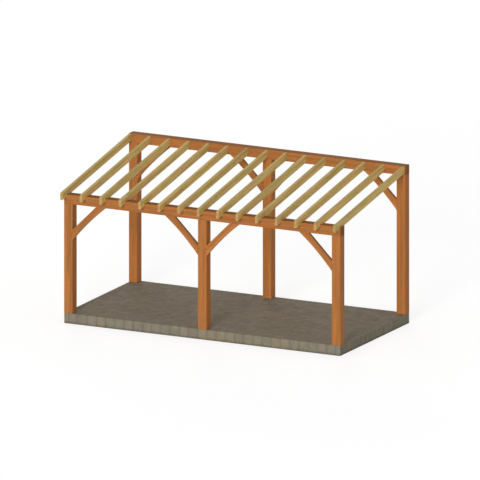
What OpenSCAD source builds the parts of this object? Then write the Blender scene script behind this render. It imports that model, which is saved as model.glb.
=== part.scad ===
// Oak patio cover: a lean-to frame of three front and three back posts on a raised paved base.
// Two long beams lie on the posts, eight arched braces stiffen them, and fifteen rafters fall
// from the back beam to the front one. Nothing moves.
// Frame: +X along the length, +Y towards the high back, +Z up. The origin is the middle of the
// base's underside.

/* [Base] */
// Length of the base and of the frame on it
base_length = 6000; // [3600:10:9000]
// Depth of the base, from the front posts' outer faces to the back ones'
base_depth = 3000; // [2000:10:4500]
// Height of the raised base above the ground
base_height = 205; // [100:5:400]
// Width of the course of edging blocks around the paving
edging_width = 100; // [60:5:150]

/* [Posts and beams] */
// Side of the square posts, which is the width of the beams too
post_side = 185; // [120:5:250]
// Height from the paving to the underside of the front beam
front_headroom = 2190; // [1800:10:2800]
// Height of both beams
beam_height = 185; // [140:5:300]

/* [Braces] */
// Distance from the corner of post and beam to the brace's near edge, along each of them
brace_leg = 505; // [350:5:700]
// Depth of a brace at its two ends
brace_depth = 146; // [100:2:180]
// Rise of the arched lower edge of a brace
brace_rise = 27; // [5:1:50]
// Thickness of a brace
brace_thickness = 60; // [50:5:100]

/* [Rafters] */
// Number of rafters
rafter_count = 15; // [5:1:21]
// Thickness of a rafter
rafter_width = 55; // [40:1:80]
// Upright height of a rafter, as its plumb-cut tail shows it
rafter_height = 140; // [100:2:200]
// Fall of the roof in degrees
roof_pitch = 10; // [5:0.1:15]
// How far the rafters reach past the front beam, measured level
front_overhang = 170; // [0:5:400]
// How far a rafter drops over the front beam, at the beam's outer face
rafter_drop = 46; // [20:1:70]
// Height of the back beam's top above the rafters' tops
back_upstand = 8; // [4:1:30]
// How far the last rafter stands in from the beams' right ends; the first is flush at the left
last_rafter_inset = 18; // [0:1:60]

/* [Joinery] */
// Length of the tenons on the posts and the braces
tenon_length = 50; // [30:5:75]
// Thickness of those tenons
tenon_thickness = 30; // [20:1:40]
// Width of a post's tenon along the beam
post_tenon_width = 110; // [60:5:140]
// Shoulder left at each edge of a brace's tenon
brace_shoulder = 25; // [10:1:40]
// Wood left between the rafters' pockets and the braces' mortises behind them
pocket_wall = 2; // [1:0.5:5]
// Length of a rafter's stub tenon, which stands in a pocket in the back beam
stub_length = 20; // [15:1:40]
// Height of the shoulder over a rafter's stub tenon
stub_shoulder = 30; // [10:5:60]
// Play around each tenon
joint_play = 1; // [0.5:0.5:3]

/* [Hidden] */
$fn = 64;
oak_color = [0.66, 0.40, 0.20];
rafter_color = [0.68, 0.56, 0.33];
edging_color = [0.55, 0.51, 0.45];
paving_color = [0.42, 0.38, 0.34];

half_length = base_length / 2;
half_depth = base_depth / 2;
slope = tan(roof_pitch);

// Heights, from the ground up
front_beam_bottom = base_height + front_headroom;
front_beam_top = front_beam_bottom + beam_height;
// Inner faces of the front and back beams
front_inner = -half_depth + post_side;
back_inner = half_depth - post_side;
back_beam_top = rafter_top(back_inner) + back_upstand;
back_beam_bottom = back_beam_top - beam_height;

// Middles of the posts along the beam, left to right
post_places = [-half_length + post_side / 2, 0, half_length - post_side / 2];
rafter_spacing = (base_length - last_rafter_inset - rafter_width) / (rafter_count - 1);
tail_end = -half_depth - front_overhang;
stub_end = back_inner + stub_length;

// Far edge of a brace, along the post and the beam
brace_far_leg = brace_leg + brace_depth * sqrt(2);
brace_chord = brace_far_leg * sqrt(2);
brace_radius = pow(brace_chord, 2) / (8 * brace_rise) + brace_rise / 2;

// Height of the rafters' top faces and undersides at a place along the depth
function rafter_top(y) = front_beam_top - rafter_drop + rafter_height + (y + half_depth) * slope;
function rafter_bottom(y) = rafter_top(y) - rafter_height;

// ---- Base -------------------------------------------------------------------------------

// A long course of edging blocks, over the whole length of the base
module long_edging(y) {
    color(edging_color)
        translate([-half_length, y, 0])
            cube([base_length, edging_width, base_height]);
}

// A short course of edging blocks, between the long ones
module end_edging(x) {
    color(edging_color)
        translate([x, -half_depth + edging_width, 0])
            cube([edging_width, base_depth - 2 * edging_width, base_height]);
}

module paved_floor() {
    color(paving_color)
        translate([-half_length + edging_width, -half_depth + edging_width, 0])
            cube([base_length - 2 * edging_width, base_depth - 2 * edging_width, base_height]);
}

// ---- Braces -----------------------------------------------------------------------------

// Outline of a brace's end on its post: play widens and lengthens the tenon to make the mortise
module brace_tenon(play) {
    translate([-tenon_length - play, brace_tenon_start() - play, -brace_far_leg + brace_shoulder - play])
        cube([
            tenon_length + play,
            tenon_thickness + 2 * play,
            brace_far_leg - brace_leg - 2 * brace_shoulder + 2 * play
        ]);
}

// A brace's tenon starts behind the rafters' pockets, which share the back beam with it
function brace_tenon_start() = stub_length + 2 * joint_play + pocket_wall;

// Swaps X and Z with their signs, so that the end on the post becomes the end under the beam
module swapped() {
    multmatrix([[0, 0, -1, 0], [0, 1, 0, 0], [-1, 0, 0, 0]]) children();
}

// A brace that rises to +X from the corner of post and beam at the origin, its face at y = 0
module brace_shape() {
    arch_centre = brace_far_leg / 2 + (brace_radius - brace_rise) / sqrt(2);
    union() {
        difference() {
            rotate([90, 0, 0])
                translate([0, 0, -brace_thickness])
                    linear_extrude(brace_thickness)
                        polygon([
                            [0, -brace_leg],
                            [brace_leg, 0],
                            [brace_far_leg, 0],
                            [0, -brace_far_leg]
                        ]);
            translate([arch_centre, -1, -arch_centre])
                rotate([-90, 0, 0])
                    cylinder(r = brace_radius, h = brace_thickness + 2, $fn = 720);
        }
        brace_tenon(0);
        swapped() brace_tenon(0);
    }
}

// Both mortises of a brace, with play
module brace_mortises() {
    brace_tenon(joint_play);
    swapped() brace_tenon(joint_play);
}

// Puts a brace's shape at its corner: side is 1 on the right of a post and -1 on its left
module at_corner(post_x, side, face_y, beam_bottom) {
    translate([post_x + side * post_side / 2, face_y, beam_bottom])
        mirror([side < 0 ? 1 : 0, 0, 0])
            children();
}

// Every brace of a frame: which post it leans on, and to which side
brace_places = [[0, 1], [1, -1], [1, 1], [2, -1]];

module brace(number, face_y, beam_bottom) {
    place = brace_places[number - 1];
    color(oak_color)
        at_corner(post_places[place[0]], place[1], face_y, beam_bottom)
            brace_shape();
}

module frame_mortises(face_y, beam_bottom) {
    for (place = brace_places)
        at_corner(post_places[place[0]], place[1], face_y, beam_bottom)
            brace_mortises();
}

// ---- Posts and beams --------------------------------------------------------------------

// The tenon on a post's top, or its mortise with play
module post_tenon(post_x, face_y, beam_bottom, play) {
    translate([
        post_x - post_tenon_width / 2 - play,
        face_y + (post_side - tenon_thickness) / 2 - play,
        beam_bottom
    ])
        cube([post_tenon_width + 2 * play, tenon_thickness + 2 * play, tenon_length + play]);
}

module post(post_x, face_y, beam_bottom) {
    color(oak_color)
        difference() {
            union() {
                translate([post_x - post_side / 2, face_y, base_height])
                    cube([post_side, post_side, beam_bottom - base_height]);
                post_tenon(post_x, face_y, beam_bottom, 0);
            }
            frame_mortises(face_y, beam_bottom);
        }
}

module beam(face_y, beam_bottom) {
    difference() {
        translate([-half_length, face_y, beam_bottom])
            cube([base_length, post_side, beam_height]);
        for (post_x = post_places)
            post_tenon(post_x, face_y, beam_bottom, joint_play);
        frame_mortises(face_y, beam_bottom);
    }
}

module front_beam() {
    color(oak_color) beam(-half_depth, front_beam_bottom);
}

module back_beam() {
    color(oak_color)
        difference() {
            beam(back_inner, back_beam_bottom);
            for (number = [1 : rafter_count])
                rafter_pocket(number);
        }
}

// ---- Rafters ----------------------------------------------------------------------------

// Stands a side view, drawn with the depth across and the height up, on its rafter's place
module upright(left_x, width) {
    translate([left_x, 0, 0])
        rotate([90, 0, 90])
            linear_extrude(width)
                children();
}

function rafter_left(number) = -half_length + (number - 1) * rafter_spacing;

function stub_top(y) = rafter_top(y) - stub_shoulder;

// The pocket's floor carries the stub tenon; its sides, back and top have play
module rafter_pocket(number) {
    pocket_front = back_inner - joint_play;
    pocket_back = stub_end + joint_play;
    upright(rafter_left(number) - joint_play, rafter_width + 2 * joint_play)
        polygon([
            [pocket_front, rafter_bottom(pocket_front)],
            [pocket_back, rafter_bottom(pocket_back)],
            [pocket_back, stub_top(pocket_back) + joint_play],
            [pocket_front, stub_top(pocket_front) + joint_play]
        ]);
}

// Cut plumb at both ends, notched over the front beam and with a stub tenon at the back
module rafter(number) {
    color(rafter_color)
        difference() {
            upright(rafter_left(number), rafter_width)
                polygon([
                    [tail_end, rafter_bottom(tail_end)],
                    [stub_end, rafter_bottom(stub_end)],
                    [stub_end, stub_top(stub_end)],
                    [back_inner, stub_top(back_inner)],
                    [back_inner, rafter_top(back_inner)],
                    [tail_end, rafter_top(tail_end)]
                ]);
            translate([rafter_left(number) - 1, -half_depth, front_beam_bottom])
                cube([rafter_width + 2, post_side, beam_height]);
        }
}

// ---- Nodes ------------------------------------------------------------------------------

long_edging(-half_depth);  // front_edging
long_edging(half_depth - edging_width);  // back_edging
end_edging(-half_length);  // left_edging
end_edging(half_length - edging_width);  // right_edging
paved_floor();

post(post_places[0], -half_depth, front_beam_bottom);  // front_left_post
post(post_places[1], -half_depth, front_beam_bottom);  // front_middle_post
post(post_places[2], -half_depth, front_beam_bottom);  // front_right_post
post(post_places[0], back_inner, back_beam_bottom);  // back_left_post
post(post_places[1], back_inner, back_beam_bottom);  // back_middle_post
post(post_places[2], back_inner, back_beam_bottom);  // back_right_post

front_beam();
back_beam();

brace(1, -half_depth, front_beam_bottom);  // front_brace_1
brace(2, -half_depth, front_beam_bottom);  // front_brace_2
brace(3, -half_depth, front_beam_bottom);  // front_brace_3
brace(4, -half_depth, front_beam_bottom);  // front_brace_4
brace(1, back_inner, back_beam_bottom);  // back_brace_1
brace(2, back_inner, back_beam_bottom);  // back_brace_2
brace(3, back_inner, back_beam_bottom);  // back_brace_3
brace(4, back_inner, back_beam_bottom);  // back_brace_4

rafter(1);  // rafter_01
rafter(2);  // rafter_02
rafter(3);  // rafter_03
rafter(4);  // rafter_04
rafter(5);  // rafter_05
rafter(6);  // rafter_06
rafter(7);  // rafter_07
rafter(8);  // rafter_08
rafter(9);  // rafter_09
rafter(10);  // rafter_10
rafter(11);  // rafter_11
rafter(12);  // rafter_12
rafter(13);  // rafter_13
rafter(14);  // rafter_14
rafter(15);  // rafter_15
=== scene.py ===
import math
import random

import bmesh
import bpy
from mathutils import Matrix, Vector, noise

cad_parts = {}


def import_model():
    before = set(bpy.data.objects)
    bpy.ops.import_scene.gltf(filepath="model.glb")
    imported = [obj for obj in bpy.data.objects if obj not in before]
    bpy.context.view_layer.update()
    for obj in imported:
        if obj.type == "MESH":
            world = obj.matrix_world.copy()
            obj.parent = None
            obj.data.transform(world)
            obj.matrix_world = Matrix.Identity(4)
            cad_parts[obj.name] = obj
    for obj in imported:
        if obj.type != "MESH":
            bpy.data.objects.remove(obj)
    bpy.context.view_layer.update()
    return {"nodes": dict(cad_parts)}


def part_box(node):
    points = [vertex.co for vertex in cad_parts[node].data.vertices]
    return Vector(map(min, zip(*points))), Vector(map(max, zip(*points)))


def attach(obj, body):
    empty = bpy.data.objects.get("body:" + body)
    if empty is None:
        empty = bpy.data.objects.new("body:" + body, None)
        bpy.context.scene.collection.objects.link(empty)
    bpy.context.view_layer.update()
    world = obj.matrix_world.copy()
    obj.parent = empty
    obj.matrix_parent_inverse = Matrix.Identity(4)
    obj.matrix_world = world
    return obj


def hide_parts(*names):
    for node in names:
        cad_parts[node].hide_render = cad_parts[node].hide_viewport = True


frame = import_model()

# An oak patio cover: an open frame of posts, beams, braces and rafters on a raised paved base.
# Sizes are in metres. X runs along the cover, Y from its low front to its high back, Z upwards.

X, Y, Z = Vector((1, 0, 0)), Vector((0, 1, 0)), Vector((0, 0, 1))

SIDES = ("front", "back")
PLACES = ("left", "middle", "right")
BRACE_NUMBERS = (1, 2, 3, 4)
# These braces stand at the right of their post, and the others at the left of theirs
BRACES_RIGHT_OF_POST = (1, 3)
RAFTERS = sorted(node for node in frame["nodes"] if node.startswith("rafter_"))

# Two places nearer than this are the same
SAME_PLACE = 1e-4


# ---- Colours -------------------------------------------------------------------------------

WHITE = (1.0, 1.0, 1.0, 1.0)


def srgb(red, green, blue):
    """A linear colour from the 0 to 255 values that a screen shows."""
    def linear(value):
        value /= 255
        return value / 12.92 if value <= 0.04045 else ((value + 0.055) / 1.055) ** 2.4
    return (linear(red), linear(green), linear(blue), 1.0)


def scaled(color, share):
    """A colour with that share of its light, which may be over 1."""
    return tuple(share * part for part in color[:3]) + (1.0,)


# ---- Material nodes ------------------------------------------------------------------------

# Most of a noise's values lie between these
NOISE_LOW, NOISE_HIGH = 0.3, 0.7


class Graph:
    """The nodes of a material or of the world, with a short call for each kind that repeats."""

    def __init__(self, owner):
        owner.use_nodes = True
        self.tree = owner.node_tree
        self.tree.nodes.clear()

    def feed(self, socket, value):
        """Gives a socket a value of its own, or links another node's output to it."""
        if isinstance(value, bpy.types.NodeSocket):
            self.tree.links.new(value, socket)
        else:
            socket.default_value = value

    def node(self, kind, *values, **settings):
        """A node with its settings, whose first sockets are fed the values in order."""
        made = self.tree.nodes.new("ShaderNode" + kind)
        for key, value in settings.items():
            setattr(made, key, value)
        for socket, value in zip(made.inputs, values):
            self.feed(socket, value)
        return made

    def math(self, operation, first, second=0.0):
        return self.node("Math", first, second, operation=operation).outputs[0]

    def plus(self, first, second):
        return self.math("ADD", first, second)

    def times(self, first, second):
        return self.math("MULTIPLY", first, second)

    def total(self, *weighed):
        """The sum of some values, each given with its weight."""
        parts = [self.times(value, weight) for value, weight in weighed]
        total = parts[0]
        for part in parts[1:]:
            total = self.plus(total, part)
        return total

    def vector(self, operation, first, second=(0.0, 0.0, 0.0)):
        made = self.node("VectorMath", first, second, operation=operation)
        return made.outputs["Value" if operation in ("LENGTH", "DOT_PRODUCT") else "Vector"]

    def split(self, vector):
        return self.node("SeparateXYZ", vector).outputs

    def combine(self, x, y, z):
        return self.node("CombineXYZ", x, y, z).outputs[0]

    def mix(self, factor, first, second, blend="MIX"):
        """The first colour, with the second one over it by the factor."""
        made = self.node("Mix", data_type="RGBA", blend_type=blend)
        self.feed(made.inputs[0], factor)
        self.feed(made.inputs[6], first)
        self.feed(made.inputs[7], second)
        return made.outputs[2]

    def shaded(self, color, light):
        """A colour with that share of its light, which may be over 1."""
        grey = self.node("CombineColor", light, light, light).outputs[0]
        return self.mix(1.0, color, grey, "MULTIPLY")

    def noise(self, vector, scale, detail=3.0, roughness=0.55):
        """Noise of about 0 to 1. scale is one number, or one for each axis, in repeats a metre."""
        if not isinstance(scale, (int, float)):
            vector = self.vector("MULTIPLY", vector, scale)
            scale = 1.0
        made = self.node("TexNoise")
        self.feed(made.inputs["Vector"], vector)
        self.feed(made.inputs["Scale"], scale)
        self.feed(made.inputs["Detail"], detail)
        self.feed(made.inputs["Roughness"], roughness)
        return made.outputs["Fac"]

    def cells(self, vector, bare_share, scale=1.0):
        """A pattern of cells: how far their middle is, and 1 in all but the share left bare."""
        made = self.node("TexVoronoi")
        self.feed(made.inputs["Vector"], vector)
        self.feed(made.inputs["Scale"], scale)
        chosen = self.math("GREATER_THAN", self.split(made.outputs["Color"])[0], bare_share)
        return made.outputs["Distance"], chosen

    def remap(self, value, low, high, new_low=0.0, new_high=1.0, smooth=False):
        """Moves the span from low to high onto new_low to new_high, and stops at its ends."""
        kind = "SMOOTHSTEP" if smooth else "LINEAR"
        numbers = (value, low, high, new_low, new_high)
        return self.node("MapRange", *numbers, interpolation_type=kind).outputs[0]

    def spread(self, value, new_low, new_high):
        """Moves a noise's usual values onto new_low to new_high."""
        return self.remap(value, NOISE_LOW, NOISE_HIGH, new_low, new_high)

    def attribute(self, name, output="Fac"):
        return self.node("Attribute", attribute_name=name).outputs[output]

    def place(self):
        """Where a point of the surface is, in metres."""
        return self.node("TexCoord").outputs["Object"]


class Look(Graph):
    """A new material of one shader, and its nodes."""

    def __init__(self, name):
        self.material = bpy.data.materials.new(name)
        super().__init__(self.material)
        self.shader = self.node("BsdfPrincipled")
        self.node("OutputMaterial", self.shader.outputs[0])

    def set(self, socket, value):
        self.feed(self.shader.inputs[socket], value)

    def bump(self, height, strength, distance):
        made = self.node("Bump")
        self.feed(made.inputs["Strength"], strength)
        self.feed(made.inputs["Distance"], distance)
        self.feed(made.inputs["Height"], height)
        self.set("Normal", made.outputs[0])


# ---- Wood ----------------------------------------------------------------------------------

# How often each pattern of the wood repeats in a metre: along the grain, and twice across it
KNOT_CELLS = (12.0, 21.0, 21.0)
PITH_WANDER_Y = (0.5, 0.1, 0.1)
PITH_WANDER_Z = (0.4, 0.1, 0.13)
RING_WAVER = (2.0, 9.0, 9.0)
FIBRES = (9.0, 520.0, 520.0)
FINE_STREAKS = (1.6, 75.0, 75.0)
LONG_STREAKS = (0.5, 17.0, 17.0)
PATCHES = (2.2, 9.0, 9.0)
FLECKS = (17.0, 120.0, 120.0)
SAW_MARKS = (210.0, 2.0, 2.0)
# How often the spokes of the drying checks change in one unit of direction
CHECK_SPOKES = 2.6

# How far a timber's patterns are shifted for each unit of its own seed
SEED_SHIFT = (31.0, 17.0, 23.0)
ACROSS_GRAIN = (0.0, 1.0, 1.0)
# The share of the cells that hold no knot, and the rings of a knot in one unit of its cell
CLEAR_CELLS = 0.64
KNOT_RINGS = 75.0
# How far the pith wanders, the rings waver and a knot pushes them aside
PITH_SWAY = 0.02
WAVER = 0.006
KNOT_PUSH = 0.016
# How suddenly a ring darkens towards its late wood
LATE_WOOD_POWER = 2.2

# How strongly each of these colours covers the one under it
LATE_WOOD_COVER = 0.55
FINE_STREAK_COVER = 0.5
WEATHERED_AND_SHADED_COVER = 0.6
SAWN_END_COVER = 0.8
END_RING_COVER = 0.45
CHECK_SHADE_COVER = 0.8
KNOT_COVER = 0.8
SHAKE_SHADE_COVER = 0.9
# The shares of the late wood's light that the dark places keep, the checks and shakes as painted
# shade
CHECK_SHADE_LIGHT = 0.25
KNOT_LIGHT, KNOT_RING_LIGHT = 0.55, 0.28
SHAKE_SHADE_LIGHT = 0.15

WOOD_GLOSS = 0.2
# Weathered faces and sawn ends are rougher by this
BARE_ROUGHNESS = 0.2


def knots(g, spot):
    """Knots in a few cells of a pattern: how near one is, where it is, and its own rings."""
    away, chosen = g.cells(g.vector("MULTIPLY", spot, KNOT_CELLS), CLEAR_CELLS)
    near = g.times(chosen, g.remap(away, 0.04, 0.26, 1, 0, smooth=True))
    knot = g.times(chosen, g.remap(away, 0.03, 0.06, 1, 0, smooth=True))
    return near, knot, g.math("FRACT", g.times(away, KNOT_RINGS))


def growth_rings(g, grain_place, spot, near_knot, ring_gap):
    """Growth rings round a pith that wanders along the piece.

    Gives the way from the pith, the ring's radius, and how late in its year the wood grew.
    """
    sway_y = g.remap(g.noise(spot, PITH_WANDER_Y), 0, 1, -PITH_SWAY, PITH_SWAY)
    sway_z = g.remap(g.noise(spot, PITH_WANDER_Z), 0, 1, -PITH_SWAY, PITH_SWAY)
    from_pith = g.vector("SUBTRACT", grain_place, g.attribute("pith", "Vector"))
    from_pith = g.vector("ADD", from_pith, g.combine(0.0, sway_y, sway_z))
    from_pith = g.vector("MULTIPLY", from_pith, ACROSS_GRAIN)
    radius = g.vector("LENGTH", from_pith)
    radius = g.plus(radius, g.remap(g.noise(spot, RING_WAVER), 0, 1, -WAVER, WAVER))
    radius = g.plus(radius, g.times(near_knot, KNOT_PUSH))
    ring = g.math("FRACT", g.math("DIVIDE", radius, ring_gap))
    return from_pith, radius, g.math("POWER", ring, LATE_WOOD_POWER)


def drying_checks(g, from_pith, radius, shift, reach):
    """Thin checks that run out from the pith, as far as reach, painted as the shade of a crack."""
    spoke = g.vector("ADD", g.vector("NORMALIZE", from_pith), shift)
    spoke = g.noise(spoke, CHECK_SPOKES, detail=1.0)
    off_middle = g.math("ABSOLUTE", g.math("SUBTRACT", spoke, 0.5))
    check = g.remap(off_middle, 0.003, 0.010, 1, 0, smooth=True)
    return g.times(check, g.remap(radius, reach, 0.3 * reach, 0, CHECK_SHADE_COVER, smooth=True))


def wood(
    name, light, dark, warm, cool, end, weathered_and_shaded, ring_gap, top_shade, streaks, patches, flecks,
    check_reach
):
    """Sawn timber, solid through, whose grain runs along the X of its own grain coordinates.

    light and dark are the early and late wood, warm and cool are the colours of its patches,
    end that of its sawn ends and weathered_and_shaded that of a face turned to the sky, weathered
    and with painted shade. ring_gap is in metres. top_shade is the share of light that such a face
    keeps, as painted shade, streaks the depth of the long streaks, patches that of the patches and
    flecks that of the pale flecks of oak. The drying checks of a sawn end, painted as shade, reach
    check_reach metres from the pith.
    """
    g = Look(name)
    seed = g.attribute("seed")
    shift = g.combine(*(g.times(seed, step) for step in SEED_SHIFT))
    grain_place = g.attribute("grain", "Vector")
    spot = g.vector("ADD", grain_place, shift)
    near_knot, knot, knot_rings = knots(g, spot)
    from_pith, radius, late = growth_rings(g, grain_place, spot, near_knot, ring_gap)

    fibre = g.noise(spot, FIBRES, detail=2.0)
    fine_streak = g.noise(spot, FINE_STREAKS)
    long_streak = g.noise(spot, LONG_STREAKS, detail=2.0)
    patch = g.noise(spot, PATCHES, detail=2.0)
    fleck = g.remap(g.noise(spot, FLECKS, detail=1.0), 0.58, 0.66, 0, flecks, smooth=True)
    saw = g.noise(spot, SAW_MARKS, detail=1.0)

    # Early and late wood, fine dark streaks, and warm and cool patches
    color = g.mix(g.times(late, LATE_WOOD_COVER), light, dark)
    color = g.mix(g.remap(fine_streak, 0.38, 0.72, 0, FINE_STREAK_COVER), color, dark)
    color = g.mix(g.remap(patch, 0.48, 0.64, 0, patches, smooth=True), color, warm)
    color = g.mix(g.remap(patch, 0.36, 0.52, patches, 0, smooth=True), color, cool)

    # Faces turned to the sky are weathered, and darker with painted shade
    normal = g.node("NewGeometry").outputs["Normal"]
    sky = g.remap(g.split(normal)[2], 0.5, 0.9, 0, 1, smooth=True)
    color = g.mix(g.times(sky, WEATHERED_AND_SHADED_COVER), color, weathered_and_shaded)

    # Sawn ends are darker, and show the rings, and the drying checks as painted shade
    along = g.math("ABSOLUTE", g.vector("DOT_PRODUCT", normal, g.attribute("axis", "Vector")))
    sawn = g.remap(along, 0.72, 0.9, 0, 1, smooth=True)
    color = g.mix(g.times(sawn, SAWN_END_COVER), color, end)
    color = g.mix(g.times(g.times(sawn, late), END_RING_COVER), color, dark)
    check = drying_checks(g, from_pith, radius, shift, check_reach)
    color = g.mix(g.times(check, sawn), color, scaled(dark, CHECK_SHADE_LIGHT))

    # Lighter and darker: streaks, fibres, flecks, a little at random, painted light and shade for
    # the timber's place, painted shade on faces turned to the sky, and rubbed arrises
    rubbed = g.times(g.attribute("wear"), g.remap(patch, 0.35, 0.6, 0.02, 0.2))
    shade = g.remap(long_streak, 0.33, 0.67, 1 - streaks, 1 + streaks)
    shade = g.times(shade, g.spread(fibre, 0.93, 1.07))
    shade = g.times(shade, g.plus(fleck, 1.0))
    shade = g.times(shade, g.attribute("tone_and_painted_light"))
    shade = g.times(shade, g.remap(sky, 0, 1, 1, top_shade))
    shade = g.times(shade, g.plus(rubbed, 1.0))
    color = g.shaded(color, shade)

    # Knots, and painted shade on the inside of the drying shakes
    knot_color = g.mix(knot_rings, scaled(dark, KNOT_LIGHT), scaled(dark, KNOT_RING_LIGHT))
    color = g.mix(g.times(knot, KNOT_COVER), color, knot_color)
    color = g.mix(g.times(g.attribute("shake_shade"), SHAKE_SHADE_COVER), color, scaled(dark, SHAKE_SHADE_LIGHT))

    bare = g.times(g.math("MAXIMUM", sky, sawn), BARE_ROUGHNESS)
    g.set("Base Color", color)
    g.set("Roughness", g.plus(g.spread(fine_streak, 0.6, 0.74), bare))
    g.set("Specular IOR Level", WOOD_GLOSS)
    height = g.total((fibre, 0.35), (late, 0.3), (fine_streak, 0.5), (saw, 0.25))
    g.bump(height, strength=0.45, distance=0.0022)
    return g.material


OAK = wood(
    "oak",
    light=srgb(182, 119, 60), dark=srgb(146, 84, 36),
    warm=srgb(180, 100, 50), cool=srgb(158, 104, 56),
    end=srgb(128, 84, 46), weathered_and_shaded=srgb(138, 90, 32),
    ring_gap=0.0045, top_shade=0.83, streaks=0.14, patches=0.4, flecks=0.1, check_reach=0.11,
)
RAFTER_WOOD = wood(
    "rafter_timber",
    light=srgb(234, 206, 130), dark=srgb(180, 140, 68),
    warm=srgb(224, 183, 118), cool=srgb(192, 175, 88),
    end=srgb(182, 140, 94), weathered_and_shaded=srgb(206, 178, 122),
    ring_gap=0.008, top_shade=0.86, streaks=0.16, patches=0.55, flecks=0.0, check_reach=0.03,
)
PEG_WOOD = wood(
    "peg_oak",
    light=srgb(166, 106, 56), dark=srgb(126, 74, 38),
    warm=srgb(160, 96, 52), cool=srgb(140, 90, 50),
    end=srgb(122, 76, 42), weathered_and_shaded=srgb(150, 106, 66),
    ring_gap=0.004, top_shade=0.85, streaks=0.08, patches=0.3, flecks=0.0, check_reach=0.01,
)


# ---- Stone, sand and steel -----------------------------------------------------------------

MASONRY_GLOSS = 0.08
# The share of the cells that hold no pit
UNPITTED_CELLS = 0.6
# How much darker a block grows towards its joints and in its pits, and how strongly paleness covers
# its arrises
JOINT_DARKENING_COVER = 0.3
PIT_DARKENING_COVER = 0.5
WORN_COVER = 0.3
# The most that pale blotches cover
BLOTCH_COVER = 0.45
# The share of light that a block keeps at its foot, where damp and painted shade are deepest
DAMP_AND_SHADE_LIGHT = 0.62


def masonry(name, pale, grime_and_shade, cloudy, grain_scale, pit_scale, damp_and_shade_height, painted_top_shade):
    """Cast blocks: each block's own tint, cloudy dirt, fine speckle, pits and pale arrises.

    cloudy is the share of dirt in the clouds, and painted_top_shade the share of painted shade on
    a face turned to the sky. grain_scale and pit_scale are the grains and pits in a metre. Below
    damp_and_shade_height a block is darker: damp where rain splashes up from the ground, and
    painted shade where it meets the ground. Towards its ends, where a block's reach attribute nears
    -1 or 1, it is darker at the joints.
    """
    g = Look(name)
    place = g.place()
    cloud = g.noise(place, 5.5, detail=4.0, roughness=0.6)
    blotch = g.noise(place, 31.0, roughness=0.6)
    speck = g.noise(place, grain_scale, detail=2.0, roughness=0.7)

    # Dirt in clouds, painted shade on faces turned to the sky, and darker towards the joints
    dirt = g.remap(cloud, 0.42, 0.68, 0, cloudy, smooth=True)
    color = g.mix(dirt, g.attribute("tint", "Color"), grime_and_shade)
    normal = g.node("NewGeometry").outputs["Normal"]
    sky = g.remap(g.split(normal)[2], 0.3, 0.9, 0, painted_top_shade, smooth=True)
    color = g.mix(sky, color, grime_and_shade)
    near_joint = g.math("POWER", g.math("ABSOLUTE", g.attribute("reach")), 2.0)
    color = g.mix(g.times(near_joint, JOINT_DARKENING_COVER), color, grime_and_shade)

    # Pale blotches and worn arrises
    color = g.mix(g.remap(blotch, 0.5, 0.75, 0, BLOTCH_COVER, smooth=True), color, pale)
    color = g.mix(g.times(g.attribute("wear"), WORN_COVER), color, pale)

    # The damp and the painted shade at the blocks' foot have an uneven edge
    above_ground = g.plus(g.split(place)[2], g.spread(blotch, -0.012, 0.012))
    damp_and_shade = g.remap(above_ground, 0.0, damp_and_shade_height, DAMP_AND_SHADE_LIGHT, 1.0, smooth=True)
    color = g.shaded(color, g.times(damp_and_shade, g.spread(speck, 0.84, 1.16)))

    away, chosen = g.cells(place, UNPITTED_CELLS, pit_scale)
    pit = g.times(g.remap(away, 0.08, 0.2, 1, 0, smooth=True), chosen)
    g.set("Base Color", g.mix(g.times(pit, PIT_DARKENING_COVER), color, grime_and_shade))
    g.set("Roughness", g.spread(blotch, 0.8, 0.95))
    g.set("Specular IOR Level", MASONRY_GLOSS)
    g.bump(g.total((blotch, 1.0), (speck, 0.6), (pit, -0.8)), strength=0.5, distance=0.003)
    return g.material


def jointing(name, pale, dark):
    """Sandy mortar between blocks."""
    g = Look(name)
    place = g.place()
    sand = g.noise(place, 420.0, detail=2.0, roughness=0.7)
    cloud = g.noise(place, 7.0)
    color = g.mix(g.remap(cloud, 0.35, 0.65, 0, 1, smooth=True), pale, dark)
    g.set("Base Color", g.shaded(color, g.spread(sand, 0.8, 1.2)))
    g.set("Roughness", g.spread(sand, 0.86, 0.98))
    g.bump(sand, strength=0.5, distance=0.002)
    return g.material


def steel(name, color):
    """Zinc-plated screw heads, dulled by the weather."""
    g = Look(name)
    dull = g.noise(g.place(), 160.0)
    g.set("Base Color", g.mix(dull, color, scaled(color, 0.6)))
    g.set("Metallic", 0.9)
    g.set("Roughness", g.spread(dull, 0.35, 0.6))
    g.bump(dull, strength=0.2, distance=0.0005)
    return g.material


EDGING = masonry(
    "edging_block", pale=srgb(152, 144, 128), grime_and_shade=srgb(112, 106, 92),
    cloudy=0.4, grain_scale=260.0, pit_scale=90.0, damp_and_shade_height=0.07, painted_top_shade=0.35,
)
PAVING = masonry(
    "paving_brick", pale=srgb(144, 135, 118), grime_and_shade=srgb(110, 102, 90),
    cloudy=0.15, grain_scale=300.0, pit_scale=110.0, damp_and_shade_height=0.001, painted_top_shade=0.0,
)
MORTAR = jointing("mortar", srgb(114, 107, 94), srgb(94, 88, 77))
SAND = jointing("joint_sand", srgb(98, 90, 77), srgb(74, 68, 58))
SCREW = steel("screw_steel", (0.5, 0.49, 0.46, 1.0))


# ---- Mesh helpers --------------------------------------------------------------------------

# Edges sharper than this stay sharp in the shading
SMOOTH_ANGLE = math.radians(60)
SCREW_SMOOTH_ANGLE = math.radians(40)
# How much more a large face counts in the shading than the small ones beside it
LARGE_FACE_WEIGHT = 80
# How much lighter or darker than its tone a timber may come out
TONE_SPREAD = 0.05


def linked(name, data):
    """A new object in the scene."""
    made = bpy.data.objects.new(name, data)
    bpy.context.scene.collection.objects.link(made)
    return made


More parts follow.
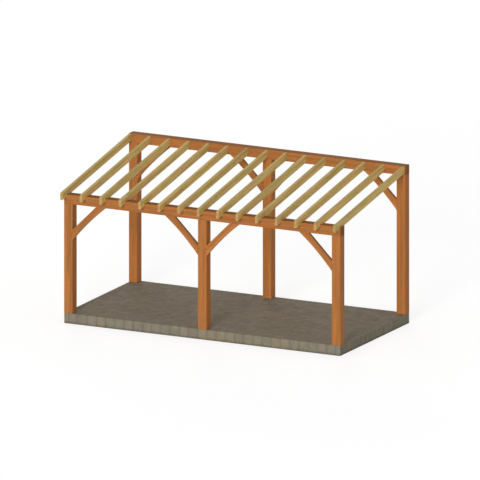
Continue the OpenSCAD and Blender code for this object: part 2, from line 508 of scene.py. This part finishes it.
def mesh_from(name, bm):
    """A new mesh from bm, which is freed."""
    mesh = bpy.data.meshes.new(name)
    bm.to_mesh(mesh)
    bm.free()
    return mesh


def finished(name, bm, material, smooth_angle=SMOOTH_ANGLE):
    """Makes a piece of the object from bm, which is in the frame's axes."""
    bm.normal_update()
    mesh = mesh_from(name, bm)
    mesh.materials.append(material)
    piece = linked(name, mesh)
    mesh.shade_smooth()
    mesh.set_sharp_from_angle(angle=smooth_angle)
    # Flat faces keep their own normal, so that only the arrises look round
    weighted = piece.modifiers.new("weighted_normal", "WEIGHTED_NORMAL")
    weighted.keep_sharp = True
    weighted.weight = LARGE_FACE_WEIGHT
    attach(piece, "root")
    return piece


def join_loops(bm, loops):
    """Faces between each loop of points and the next, and a cap on both ends."""
    for first, second in zip(loops, loops[1:]):
        for step in range(len(first)):
            after = (step + 1) % len(first)
            bm.faces.new((first[step], first[after], second[after], second[step]))
    bm.faces.new(loops[0][::-1])
    bm.faces.new(loops[-1])


def rounded(bm, edges, offset, profile):
    """Rounds the edges, and gives the set of faces that this makes."""
    made = bmesh.ops.bevel(
        bm, geom=edges, offset=offset, offset_type="OFFSET", segments=2, profile=profile,
        affect="EDGES", clamp_overlap=True,
    )
    return set(made["faces"])


def fill_attribute(piece, name, kind, value):
    """Gives every point of a piece the same value of an attribute that its material reads."""
    data = piece.data.attributes.new(name, kind, "POINT").data
    field = "vector" if kind == "FLOAT_VECTOR" else "value"
    for item in data:
        setattr(item, field, value)


def grain(piece, matrix, rng, pith_spread, pith_middle=(0.0, 0.0), tone_and_painted_light=1.0):
    """Gives a timber its own grain along matrix's X: where its pith runs and how light it is.

    How light it is holds painted light and shade for its place, and a little at random.
    """
    inverse = matrix.inverted()
    data = piece.data.attributes.new("grain", "FLOAT_VECTOR", "POINT").data
    for item, vert in zip(data, piece.data.vertices):
        item.vector = inverse @ vert.co
    pith = [rng.uniform(-pith_spread, pith_spread) + middle for middle in pith_middle]
    seed = rng.random()
    tone_and_painted_light *= rng.uniform(1 - TONE_SPREAD, 1 + TONE_SPREAD)
    fill_attribute(piece, "axis", "FLOAT_VECTOR", matrix.to_3x3().col[0])
    fill_attribute(piece, "pith", "FLOAT_VECTOR", (0.0, pith[0], pith[1]))
    fill_attribute(piece, "seed", "FLOAT", seed)
    fill_attribute(piece, "tone_and_painted_light", "FLOAT", tone_and_painted_light)


# ---- Drying shakes -------------------------------------------------------------------------

# A shake's widest and deepest, and how far apart its cross-sections are
SHAKE_WIDTH = 0.0032
SHAKE_DEPTH = 0.016
SHAKE_STEP = 0.03
FEWEST_STEPS = 6
SHAKES_PER_METRE = 0.7
SHORTEST_SHAKE, LONGEST_SHAKE = 0.25, 0.8
# How far from the middle line of its face a shake may lie
SHAKE_ASIDE = 0.045
# A shake wanders in long bends and in short ones: how far, and how often in a metre
LONG_BEND, LONG_BENDS_PER_METRE = 0.010, 2.2
SHORT_BEND, SHORT_BENDS_PER_METRE = 0.0016, 16
# The wedge stands this far out of the face, and has its shoulder this far inside it
WEDGE_PROUD = 0.002
WEDGE_SHOULDER = 0.001
WEDGE_SHOULDER_SHARE = 0.9
WEDGE_TIP_ASIDE = 0.001
# The shares of the widest and the deepest that the slightest shake has
NARROW_SHARE = 0.5
SHALLOW_SHARE = 0.6
# The bends of each shake come from its own place in a noise of this extent
BEND_SHIFT = 50
# A shake opens by this power of a half wave, and keeps a little of its width at its very ends,
# as if it stopped this share of its length short of them
TAPER_POWER = 0.6
TAPER_END = 0.004
# A new point at least this deep is inside a shake. Points that agree to these digits are one
SHAKE_INSIDE = 0.0005
POINT_DIGITS = 5


def add_shake(bm, start, along, across, inward, length, rng):
    """A wedge that tapers to nothing at both ends and wanders a little, to be cut out."""
    count = max(FEWEST_STEPS, round(length / SHAKE_STEP))
    width = SHAKE_WIDTH * rng.uniform(NARROW_SHARE, 1.0)
    depth = SHAKE_DEPTH * rng.uniform(SHALLOW_SHARE, 1.0)
    shift = rng.uniform(0, BEND_SHIFT)
    sections = []
    for number in range(count + 1):
        share = number / count
        wave = math.sin(math.pi * min(max(share, TAPER_END), 1 - TAPER_END))
        open_here = wave ** TAPER_POWER
        far = share * length
        sway = LONG_BEND * noise.noise(Vector((far * LONG_BENDS_PER_METRE, shift, 0)))
        sway += SHORT_BEND * noise.noise(Vector((far * SHORT_BENDS_PER_METRE, shift, 7)))
        place = start + along * far + across * sway
        half = across * (width / 2 * open_here)
        tip_aside = across * WEDGE_TIP_ASIDE * rng.uniform(-1, 1)
        sections.append([
            bm.verts.new(place - half - inward * WEDGE_PROUD),
            bm.verts.new(place + half - inward * WEDGE_PROUD),
            bm.verts.new(place + half * WEDGE_SHOULDER_SHARE + inward * WEDGE_SHOULDER),
            bm.verts.new(place + tip_aside + inward * depth * open_here),
            bm.verts.new(place - half * WEDGE_SHOULDER_SHARE + inward * WEDGE_SHOULDER),
        ])
    join_loops(bm, sections)


def cut_out(piece, cutter_mesh):
    """A new mesh: the piece less the cutter, without the piece's shading modifier."""
    cutter = linked("cutter", cutter_mesh)
    cut = piece.modifiers.new("cut", "BOOLEAN")
    cut.operation = "DIFFERENCE"
    cut.solver = "MANIFOLD"
    cut.object = cutter
    weighted = piece.modifiers["weighted_normal"]
    weighted.show_viewport = False
    evaluated = piece.evaluated_get(bpy.context.evaluated_depsgraph_get())
    result = bpy.data.meshes.new_from_object(evaluated)
    weighted.show_viewport = True
    piece.modifiers.remove(cut)
    bpy.data.objects.remove(cutter)
    bpy.data.meshes.remove(cutter_mesh)
    return result


def cut_shakes(piece, along, sides, span, rng):
    """Cuts drying shakes into the long faces of a timber that is square to the frame's axes.

    sides holds the outward normals of the faces to cut, and span the part of the timber's
    length where shakes may lie, as shares of it.
    """
    corners = [Vector(corner) for corner in piece.bound_box]
    low = Vector(min(corner[axis] for corner in corners) for axis in range(3))
    high = Vector(max(corner[axis] for corner in corners) for axis in range(3))
    middle, size = (low + high) / 2, high - low
    reach = size.dot(along)
    # Each shake has its own stretch of the timber, so that no two cross
    count = max(1, round(reach * (span[1] - span[0]) * SHAKES_PER_METRE))
    stretch = reach * (span[1] - span[0]) / count
    bm = bmesh.new()
    for outward in sides:
        across = along.cross(outward)
        face_middle = middle + outward * (abs(size.dot(outward)) / 2)
        for number in range(count):
            length = rng.uniform(SHORTEST_SHAKE, LONGEST_SHAKE)
            slack = rng.uniform(0.0, stretch - length)
            begin = (span[0] - 0.5) * reach + number * stretch + slack
            aside = across * rng.uniform(-SHAKE_ASIDE, SHAKE_ASIDE)
            start = face_middle + along * begin + aside
            add_shake(bm, start, along, across, -outward, length, rng)
    result = cut_out(piece, mesh_from("cutter", bm))

    # Shade is painted on the inside of a shake: mark the points that are new and under the surface
    def key(point):
        return tuple(round(value, POINT_DIGITS) for value in point)

    known = {key(vert.co) for vert in piece.data.vertices}
    inside = result.attributes.new("shake_shade", "FLOAT", "POINT").data
    for vert, item in zip(result.vertices, inside):
        depth = min(
            abs(size.dot(outward)) / 2 - abs((vert.co - middle).dot(outward)) for outward in sides
        )
        item.value = float(key(vert.co) not in known and depth > SHAKE_INSIDE)
    piece.data = result


# ---- Timbers -------------------------------------------------------------------------------

ARRIS = 0.004
RAFTER_ARRIS = 0.0025
# Points nearer than this are joined, and faces that meet at less than this angle are made one
WELD = 1e-5
FLAT_ANGLE = math.radians(0.4)
# Only edges sharper and longer than these are eased
SHARP_ANGLE = math.radians(35)
SHORTEST_EASED_EDGE = 0.03
# A direction that rises or falls by less than this is level
LEVEL = 1e-3

# The parts of a post's and a beam's length where shakes may lie, and a beam's faces with shakes
POST_SHAKE_SPAN = (0.04, 0.7)
BEAM_SHAKE_SPAN = (0.03, 0.97)
BEAM_SHAKE_FACES = {"front": (-Y, Y, Z), "back": (Y, Z)}

# How far a pith strays from its middle, and where that is: across the timber and up
OAK_PITH_SPREAD = 0.03
BRACE_PITH = (0.0, 0.05)
RAFTER_PITH_SPREAD = 0.02
RAFTER_PITH = (0.0, 0.12)

# Painted light and shade on each frame's timbers: those at the back lighter against the shade
# that the rafters and the front frame cast on them, the front beam darker with the shade of the
# rafter tails, and the front braces, the right-hand posts and the last rafter darker, as they
# catch more light
POST_PAINTED_LIGHT = {"front": 1.0, "back": 1.08}
RIGHT_POST_PAINTED_SHADE = 0.04
BEAM_PAINTED_SHADE = {"front": 0.91, "back": 0.97}
BRACE_PAINTED_LIGHT_AND_SHADE = {"front": 0.94, "back": 1.07}
LAST_RAFTER_PAINTED_SHADE = 0.9


def long_axis(bm):
    """The direction of a timber's longest edge, pointing up or to +X or +Y."""
    longest = max(bm.edges, key=lambda edge: edge.calc_length())
    axis = (longest.verts[1].co - longest.verts[0].co).normalized()
    if axis.z < -LEVEL or (abs(axis.z) < LEVEL and axis.x + axis.y < 0):
        axis.negate()
    return axis


def ease_arrises(bm, arris):
    """Rounds a timber's outer edges and marks the middle of each rounding as worn.

    A step of 0.025 mm at the end of a brace's arch leaves the rounding no room there, and every
    edge of a piece gets the same rounding, so the braces come out with sharp arrises.
    """
    eased = [
        edge for edge in bm.edges
        if len(edge.link_faces) == 2
        and edge.is_convex
        and edge.calc_face_angle(0) > SHARP_ANGLE
        and edge.calc_length() > SHORTEST_EASED_EDGE
    ]
    round_faces = rounded(bm, eased, arris, profile=0.5)
    wear = bm.verts.layers.float.new("wear")
    for face in round_faces:
        for vert in face.verts:
            if all(other in round_faces for other in vert.link_faces):
                vert[wear] = 1.0
    bmesh.ops.dissolve_degenerate(bm, dist=WELD, edges=bm.edges)


def timber(
    node, material, rng, arris, pith_spread, pith_middle=(0.0, 0.0), tone_and_painted_light=1.0, shaken=None
):
    """The CAD node's own shape, with eased arrises and a grain that runs along it.

    shaken is the faces and the span that cut_shakes takes, or None for a timber without shakes.
    """
    bm = bmesh.new()
    bm.from_mesh(frame["nodes"][node].data)
    bmesh.ops.remove_doubles(bm, verts=bm.verts, dist=WELD)
    bmesh.ops.dissolve_limit(bm, angle_limit=FLAT_ANGLE, verts=bm.verts, edges=bm.edges)
    along = long_axis(bm)
    across = X if abs(along.y) > 0.5 else Y
    up = along.cross(across).normalized()
    low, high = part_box(node)
    axes = Matrix((along, across, up)).transposed().to_4x4()
    matrix = Matrix.Translation((low + high) / 2) @ axes
    ease_arrises(bm, arris)
    piece = finished(f"{node}_timber", bm, material)
    if shaken:
        cut_shakes(piece, along, shaken[0], shaken[1], rng)
    grain(piece, matrix, rng, pith_spread, pith_middle, tone_and_painted_light)
    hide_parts(node)


def oak(node, rng, pith_middle=(0.0, 0.0), tone_and_painted_light=1.0, shaken=None):
    """An oak timber of the frame."""
    timber(node, OAK, rng, ARRIS, OAK_PITH_SPREAD, pith_middle, tone_and_painted_light, shaken)


def timbers():
    """Every post, beam, brace and rafter, with painted light and shade for where each stands."""
    rng = random.Random(11)
    for side in SIDES:
        for place in PLACES:
            faces = rng.sample((X, -X, Y, -Y), 2)
            tone_and_painted_light = POST_PAINTED_LIGHT[side] - (RIGHT_POST_PAINTED_SHADE if place == "right" else 0.0)
            shaken = (faces, POST_SHAKE_SPAN)
            oak(f"{side}_{place}_post", rng, tone_and_painted_light=tone_and_painted_light, shaken=shaken)
    for side in SIDES:
        shaken = (BEAM_SHAKE_FACES[side], BEAM_SHAKE_SPAN)
        oak(f"{side}_beam", rng, tone_and_painted_light=BEAM_PAINTED_SHADE[side], shaken=shaken)
    for side in SIDES:
        for number in BRACE_NUMBERS:
            oak(f"{side}_brace_{number}", rng, BRACE_PITH, BRACE_PAINTED_LIGHT_AND_SHADE[side])
    for node in RAFTERS:
        tone_and_painted_light = LAST_RAFTER_PAINTED_SHADE if node == RAFTERS[-1] else 1.0
        timber(
            node, RAFTER_WOOD, rng, RAFTER_ARRIS, RAFTER_PITH_SPREAD, RAFTER_PITH,
            tone_and_painted_light,
        )


# ---- Pegs ----------------------------------------------------------------------------------

PEG_RADIUS = 0.011
PEG_SIDES = 10
PEG_PROUD = 0.005
# The length at each end of a peg over which it narrows
PEG_CHAMFER = 0.003
# How much the facets of a peg stand in and out of its round
PEG_FACET = 0.05
# From a joint's shoulder to its pegs, and from the middle of a tenon to each of its two pegs
PEG_INSET = 0.026
PEG_ASIDE = 0.03
# A back peg stops this far short of the frame's back
PEG_BACK_GAP = 0.001
PEG_PITH_SPREAD = 0.05


def add_peg(bm, place, near_y, far_y, rng):
    """An oak peg along Y, from near_y to far_y, faceted as hand-cut ones are."""
    turn = rng.uniform(0, math.tau)
    rings = [
        (near_y, PEG_RADIUS * 0.72),
        (near_y + PEG_CHAMFER, PEG_RADIUS),
        (far_y - PEG_CHAMFER, PEG_RADIUS * 0.94),
        (far_y, PEG_RADIUS * 0.7),
    ]
    loops = []
    for y, radius in rings:
        loop = []
        for step in range(PEG_SIDES):
            angle = turn + math.tau * step / PEG_SIDES
            reach = radius * (1 + PEG_FACET * math.sin(PEG_SIDES / 2 * angle))
            point = (place.x + reach * math.sin(angle), y, place.y + reach * math.cos(angle))
            loop.append(bm.verts.new(point))
        loops.append(loop)
    join_loops(bm, loops)


def tenon_middle(node, axis, tip, other):
    """The middle of a tenon's end along the other axis: its points lie at tip on the first."""
    found = [
        vert.co[other] for vert in frame["nodes"][node].data.vertices
        if abs(vert.co[axis] - tip) < SAME_PLACE
    ]
    return (min(found) + max(found)) / 2


def peg_places(side):
    """Where a frame's pegs go, as (x, z) pairs: through post tenons and both ends of braces."""
    beam_low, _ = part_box(f"{side}_beam")
    head_z = beam_low.z + PEG_INSET
    places = []
    for place in PLACES:
        low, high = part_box(f"{side}_{place}_post")
        middle = (low.x + high.x) / 2
        for aside in (-PEG_ASIDE, PEG_ASIDE):
            places.append(Vector((middle + aside, head_z)))
    for number in BRACE_NUMBERS:
        node = f"{side}_brace_{number}"
        low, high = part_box(node)
        tenon = high.z - beam_low.z
        tip_x, toward = (low.x, 1) if number in BRACES_RIGHT_OF_POST else (high.x, -1)
        foot_x = tip_x + toward * (tenon - PEG_INSET)
        foot_z = tenon_middle(node, 0, tip_x, 2)
        head_x = tenon_middle(node, 2, high.z, 0)
        for aside in (-PEG_ASIDE, PEG_ASIDE):
            places.append(Vector((foot_x, foot_z + aside)))
            places.append(Vector((head_x + aside, head_z)))
    return places


def pegs():
    """The pegs of both frames, whose grain runs through the frame, along Y."""
    rng = random.Random(5)
    through = Matrix(((0, -1, 0), (1, 0, 0), (0, 0, 1))).to_4x4()
    for side in SIDES:
        low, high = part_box(f"{side}_left_post")
        far_y = high.y - PEG_BACK_GAP if side == "back" else high.y + PEG_PROUD
        bm = bmesh.new()
        for place in peg_places(side):
            add_peg(bm, place, low.y - PEG_PROUD, far_y, rng)
        piece = finished(f"{side}_pegs", bm, PEG_WOOD)
        grain(piece, through, rng, PEG_PITH_SPREAD)


# ---- Screws --------------------------------------------------------------------------------

SCREW_RADIUS = 0.009
SCREW_SIDES = 12
# A screw head's outline: the share of its radius, and the height above the rafter
SCREW_PROFILE = [
    (1.0, -0.001), (1.0, 0.0012), (0.8, 0.0026), (0.45, 0.0032), (0.4, 0.0032), (0.36, 0.0012),
]
# How far a screw may stand off the rafter's middle, and how far the back one is from its end
SCREW_ASIDE = 0.004
SCREW_FROM_END = 0.06


def add_screw_head(bm, matrix):
    """A washer head: a low dome with a hollow in its middle."""
    loops = []
    for share, height in SCREW_PROFILE:
        reach = SCREW_RADIUS * share
        loop = []
        for step in range(SCREW_SIDES):
            angle = math.tau * step / SCREW_SIDES
            point = Vector((reach * math.cos(angle), reach * math.sin(angle), height))
            loop.append(bm.verts.new(matrix @ point))
        loops.append(loop)
    join_loops(bm, loops)


def screws():
    """A screw with a washer head through each rafter into the front beam, and one at its back."""
    rng = random.Random(8)
    bm = bmesh.new()
    beam_low, beam_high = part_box("front_beam")
    for node in RAFTERS:
        low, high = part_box(node)
        points = [vert.co for vert in frame["nodes"][node].data.vertices]
        tail = [point for point in points if point.y < low.y + SAME_PLACE]
        tail_top = max(tail, key=lambda point: point.z)
        head_top = max(points, key=lambda point: point.z)
        slope = (head_top.z - tail_top.z) / (head_top.y - tail_top.y)
        normal = Vector((0, -slope, 1)).normalized()
        upright = normal.to_track_quat("Z", "Y").to_matrix().to_4x4()
        for y in ((beam_low.y + beam_high.y) / 2, head_top.y - SCREW_FROM_END):
            x = (low.x + high.x) / 2 + rng.uniform(-SCREW_ASIDE, SCREW_ASIDE)
            top = Vector((x, y, tail_top.z + slope * (y - tail_top.y)))
            spin = Matrix.Rotation(rng.uniform(0, 1), 4, "Z")
            add_screw_head(bm, Matrix.Translation(top) @ upright @ spin)
    finished("rafter_screws", bm, SCREW, SCREW_SMOOTH_ANGLE)


# ---- Edging --------------------------------------------------------------------------------

EDGING_TINTS = [srgb(142, 131, 109), srgb(134, 130, 110), srgb(139, 129, 114), srgb(135, 127, 109)]
EDGING_TINT_SPREAD = 0.05
BLOCK_PITCH = 0.2
BLOCK_JOINT = 0.005
BLOCK_ARRIS = 0.01
# How far a block's faces wander inwards, and how often in a metre
BLOCK_WOBBLE = 0.0015
WOBBLES_PER_METRE = 9
# The wobble of each block comes from its own place in a noise of this extent
WOBBLE_SHIFT = 40
# A block shorter than this is left out at a course's end
SHORTEST_BLOCK = 0.01
# How far the mortar lies behind the blocks' faces, at the course's ends and above the ground
MORTAR_DEPTH = 0.005
MORTAR_END_DEPTH = 0.02
MORTAR_LIFT = 0.001
MORTAR_ARRIS = 0.002


def tinted(tints, rng, spread):
    """One of the tints, a little lighter or darker."""
    return scaled(rng.choice(tints), rng.uniform(1 - spread, 1 + spread))


def masonry_mesh():
    """An empty mesh with the layers that rounded_block and add_paver fill."""
    bm = bmesh.new()
    tint = bm.verts.layers.float_color.new("tint")
    wear = bm.verts.layers.float.new("wear")
    reach = bm.verts.layers.float.new("reach")
    return bm, (tint, wear, reach)


def rounded_block(bm, layers, low, high, arris, tint, rng, wobble=0.0, axis=0):
    """A block, long along axis, with rounded, worn arrises and slightly uneven faces."""
    tint_layer, wear_layer, reach_layer = layers
    made = bmesh.ops.create_cube(bm, size=1.0)
    size = high - low
    for vert in made["verts"]:
        vert.co = Vector((vert.co[way] + 0.5) * size[way] + low[way] for way in range(3))
    edges = {edge for vert in made["verts"] for edge in vert.link_edges}
    round_faces = rounded(bm, list(edges), arris, profile=0.55)
    verts = {vert for face in round_faces for vert in face.verts}
    shift = Vector((rng.random(), rng.random(), rng.random())) * WOBBLE_SHIFT
    middle = (low + high) / 2
    for vert in verts:
        vert[tint_layer] = tint
        vert[wear_layer] = float(all(face in round_faces for face in vert.link_faces))
        vert[reach_layer] = 2 * (vert.co[axis] - middle[axis]) / size[axis]
        inward = (middle - vert.co).normalized()
        uneven = noise.noise(vert.co * WOBBLES_PER_METRE + shift)
        vert.co += inward * wobble * (0.5 + 0.5 * uneven)


def edging_course(node, axis, half_ends, rng):
    """A course of upright blocks along an axis, 0 or 1, with mortar a little behind their faces.

    half_ends says that half blocks end it, so that they line up with the side courses' width.
    """
    low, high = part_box(node)
    first, last = low[axis], high[axis]
    count = round((last - first) / BLOCK_PITCH)
    pitch = (last - first) / count
    joints = [first + pitch * (number + 0.5 * half_ends) for number in range(count + 1)]
    joints = [at for at in joints if first + SHORTEST_BLOCK < at < last - SHORTEST_BLOCK]
    joints = [first, *joints, last]
    bm, layers = masonry_mesh()
    for near, far in zip(joints, joints[1:]):
        start, end = low.copy(), high.copy()
        start[axis] = near + (BLOCK_JOINT / 2 if near > first else 0)
        end[axis] = far - (BLOCK_JOINT / 2 if far < last else 0)
        tint = tinted(EDGING_TINTS, rng, EDGING_TINT_SPREAD)
        rounded_block(bm, layers, start, end, BLOCK_ARRIS, tint, rng, BLOCK_WOBBLE, axis)
    piece = finished(f"{node}_blocks", bm, EDGING)
    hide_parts(node)

    inset = Vector((MORTAR_DEPTH,) * 3)
    inset[axis] = MORTAR_END_DEPTH
    core_low, core_high = low + inset, high - inset
    core_low.z = low.z + MORTAR_LIFT
    bm, layers = masonry_mesh()
    rounded_block(bm, layers, core_low, core_high, MORTAR_ARRIS, WHITE, rng)
    finished(f"{node}_mortar", bm, MORTAR)


def edging():
    """The four courses of blocks round the paving."""
    rng = random.Random(2)
    for node in ("front_edging", "back_edging"):
        edging_course(node, 0, True, rng)
    for node in ("left_edging", "right_edging"):
        edging_course(node, 1, False, rng)


# ---- Paving --------------------------------------------------------------------------------

PAVING_TINTS = [srgb(134, 122, 104), srgb(129, 118, 102), srgb(136, 124, 107), srgb(131, 122, 106)]
PAVING_TINT_SPREAD = 0.1
BRICK = 0.2
HALF_BRICK = BRICK / 2
PAVING_JOINT = 0.005
# A cut brick narrower than this is left out
NARROWEST_PAVER = 0.02
# How far one corner of a brick may lie lower than another
PAVER_TILT = 0.0009
# Rings of a brick, from below: how far in, how far below its top, how worn, and if it tilts
PAVER_RINGS = [
    (0.0, 0.03, 0.0, False),
    (0.0, 0.0045, 0.0, True),
    (0.0013, 0.0013, 1.0, True),
    (0.0045, 0.0, 0.0, True),
]
# How far the bed's top lies below the bricks' tops, and its foot above the ground
BED_DEPTH = 0.0035
BED_LIFT = 0.001
BED_ARRIS = 0.001


def herringbone(width, depth):
    """Rectangles (x0, y0, x1, y1) of a square herringbone that covers width by depth, cut to it."""
    found = []
    # Enough steps either way to pass every edge
    reach = int((width + depth) / HALF_BRICK) + 4
    for row in range(-reach, reach):
        for column in range(-reach, reach):
            # Each L of one lying and one standing brick steps along the diagonal
            phase = (column - row) % 4
            x, y = column * HALF_BRICK, row * HALF_BRICK
            if phase == 0:
                found.append((x, y, x + BRICK, y + HALF_BRICK))
            elif phase == 3:
                found.append((x, y, x + HALF_BRICK, y + BRICK))
    cut = []
    for x0, y0, x1, y1 in found:
        x0, x1 = max(x0, 0), min(x1, width)
        y0, y1 = max(y0, 0), min(y1, depth)
        if min(x1 - x0, y1 - y0) > NARROWEST_PAVER:
            cut.append((x0, y0, x1, y1))
    return cut


def add_paver(bm, layers, rectangle, top, tint, rng):
    """A paver, rounded at its upper arrises and sunk a little way into the bed."""
    tint_layer, wear_layer, _ = layers
    x0, y0, x1, y1 = rectangle
    middle_x, middle_y = (x0 + x1) / 2, (y0 + y1) / 2
    gap = PAVING_JOINT / 2
    x0, y0, x1, y1 = x0 + gap, y0 + gap, x1 - gap, y1 - gap
    corners = [(x0, y0), (x1, y0), (x1, y1), (x0, y1)]
    lifts = [rng.uniform(-PAVER_TILT, 0.0) for _ in corners]
    loops = []
    for inset, drop, worn, tilts in PAVER_RINGS:
        loop = []
        for (x, y), lift in zip(corners, lifts):
            x += math.copysign(inset, middle_x - x)
            y += math.copysign(inset, middle_y - y)
            vert = bm.verts.new((x, y, top - drop + (lift if tilts else 0.0)))
            vert[tint_layer] = tint
            vert[wear_layer] = worn
            loop.append(vert)
        loops.append(loop)
    join_loops(bm, loops)


def paving():
    """The herringbone floor, and the bed of sand that shows in its joints."""
    rng = random.Random(3)
    low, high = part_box("paved_floor")
    bm, layers = masonry_mesh()
    for x0, y0, x1, y1 in herringbone(high.x - low.x, high.y - low.y):
        rectangle = (x0 + low.x, y0 + low.y, x1 + low.x, y1 + low.y)
        tint = tinted(PAVING_TINTS, rng, PAVING_TINT_SPREAD)
        add_paver(bm, layers, rectangle, high.z, tint, rng)
    piece = finished("herringbone_paving", bm, PAVING)
    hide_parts("paved_floor")

    bm, layers = masonry_mesh()
    bed_low, bed_high = low + Z * BED_LIFT, high - Z * BED_DEPTH
    rounded_block(bm, layers, bed_low, bed_high, BED_ARRIS, WHITE, rng)
    finished("paving_bed", bm, SAND)


# ---- Floor and background ------------------------------------------------------------------

FLOOR_HALF_WIDTH = 60.0
# The floor lies this far under the object, so that the two never share a plane
FLOOR_DEPTH = 0.001
# The floor's grey in the light that reaches the object; and as the camera sees it, where a glow
# brings it near white and leaves the object's shadow on it
FLOOR_LIT_GREY = (0.8, 0.8, 0.8, 1.0)
FLOOR_SHOWN_GREY = (0.45, 0.45, 0.45, 1.0)
FLOOR_GLOW = 0.705
WORLD_LIGHT = 0.45
WORLD_SHOWN = 1.0


def by_ray(g, lit, shown):
    """shown for the camera's rays and for mirrored and passed ones, and lit for all others."""
    path = g.node("LightPath")
    seen = g.math("MAXIMUM", path.outputs["Is Camera Ray"], path.outputs["Is Glossy Ray"])
    seen = g.math("MAXIMUM", seen, path.outputs["Is Transmission Ray"])
    return g.node("MixShader", seen, lit.outputs[0], shown.outputs[0]).outputs[0]


def floor():
    """A plain pale floor that keeps the object's shadow."""
    material = bpy.data.materials.new("studio_floor")
    g = Graph(material)
    lit = g.node("BsdfDiffuse", FLOOR_LIT_GREY)
    grey = g.node("BsdfDiffuse", FLOOR_SHOWN_GREY)
    glow = g.node("Emission", WHITE, FLOOR_GLOW)
    shown = g.node("AddShader", grey.outputs[0], glow.outputs[0])
    g.node("OutputMaterial", by_ray(g, lit, shown))

    half = FLOOR_HALF_WIDTH
    corners = [(-half, -half), (half, -half), (half, half), (-half, half)]
    mesh = bpy.data.meshes.new("studio_floor")
    mesh.from_pydata([(x, y, -FLOOR_DEPTH) for x, y in corners], [], [(0, 1, 2, 3)])
    mesh.materials.append(material)
    linked("studio_floor", mesh)


def world():
    """A white background, which gives the object less light than it shows."""
    made = bpy.data.worlds.new("studio")
    g = Graph(made)
    lit = g.node("Background", WHITE, WORLD_LIGHT)
    shown = g.node("Background", WHITE, WORLD_SHOWN)
    g.node("OutputWorld", by_ray(g, lit, shown))
    bpy.context.scene.world = made


# ---- Lights and camera ---------------------------------------------------------------------

CAMERA_AZIMUTH = 26.57
CAMERA_ELEVATION = 13.9
# What the picture's width spans, and how far the camera is from the origin: to its own right,
# upwards and back
CAMERA_WIDTH = 9.326
CAMERA_RIGHT = 0.0649
CAMERA_UP = 1.6146
CAMERA_BACK = 30
# How far the camera sees
CAMERA_REACH = 200


def direction(azimuth, elevation):
    """A unit vector: azimuth goes from the front round to the right, in degrees."""
    turn, rise = math.radians(azimuth), math.radians(elevation)
    level = math.cos(rise)
    return Vector((math.sin(turn) * level, -math.cos(turn) * level, math.sin(rise)))


def turned(made, rotation):
    """Turns an object by a quaternion."""
    made.rotation_mode = "QUATERNION"
    made.rotation_quaternion = rotation
    return made


def sun(name, azimuth, elevation, strength, softness):
    """Soft light from a direction. strength is what a face square to it gets, 1 being full."""
    lamp = bpy.data.lights.new(name, "SUN")
    lamp.energy = strength * math.pi
    lamp.angle = math.radians(softness)
    turned(linked(name, lamp), direction(azimuth, elevation).to_track_quat("Z", "Y"))


def lights():
    """A key light from the front, and a fill from behind on the left."""
    sun("key", azimuth=9, elevation=15, strength=0.61, softness=22)
    sun("fill", azimuth=215, elevation=15, strength=0.2, softness=26)


def camera():
    """A parallel view: the camera stands to the right of the front and a little above."""
    data = bpy.data.cameras.new("camera")
    data.type = "ORTHO"
    data.ortho_scale = CAMERA_WIDTH
    data.clip_end = CAMERA_REACH
    back = direction(CAMERA_AZIMUTH, CAMERA_ELEVATION)
    turn = (-back).to_track_quat("-Z", "Y")
    right, up = turn @ X, turn @ Y
    made = turned(linked("camera", data), turn)
    made.location = right * CAMERA_RIGHT + up * CAMERA_UP + back * CAMERA_BACK
    bpy.context.scene.camera = made


camera()
floor()
world()
lights()
timbers()
pegs()
screws()
edging()
paving()
bpy.context.scene.view_settings.view_transform = "Standard"
